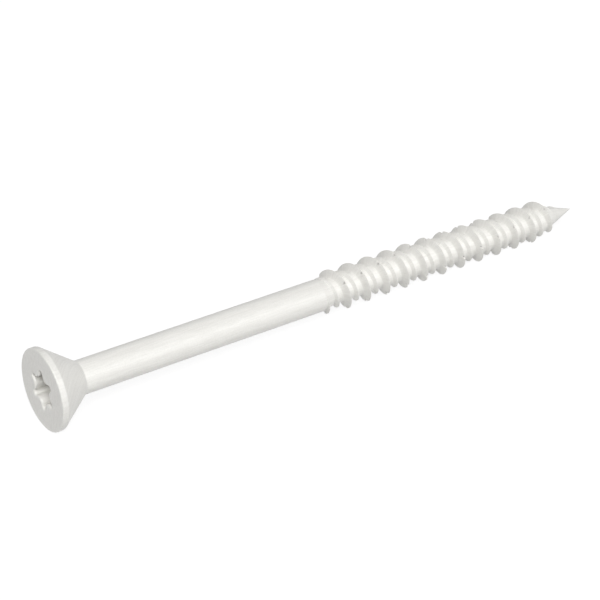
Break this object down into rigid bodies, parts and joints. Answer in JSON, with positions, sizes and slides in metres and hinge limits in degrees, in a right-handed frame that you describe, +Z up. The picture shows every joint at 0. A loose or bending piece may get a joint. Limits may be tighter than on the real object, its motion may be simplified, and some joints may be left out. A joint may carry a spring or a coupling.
{
  "type": "concrete screw",
  "caption": "Long flat-head concrete screw with a star-shaped drive recess, a plain shank and a high-low thread with notched high crests.",
  "frame": {"origin": "on the floor, under the middle of the screw's length as it lies at rest", "axes": "+X along the screw towards its point, in the floor's plane; +Z up from the floor; the screw's own axis leans down by 1.98 degrees towards the point, because it rests on the rim of its head and on its thread"},
  "size_m": [0.0954, 0.012, 0.0121],
  "materials": {
    "painted_steel": "satin warm-white paint"
  },
  "bodies": {
    "root": {"concrete_screw": "painted_steel"}
  },
  "joints": []
}
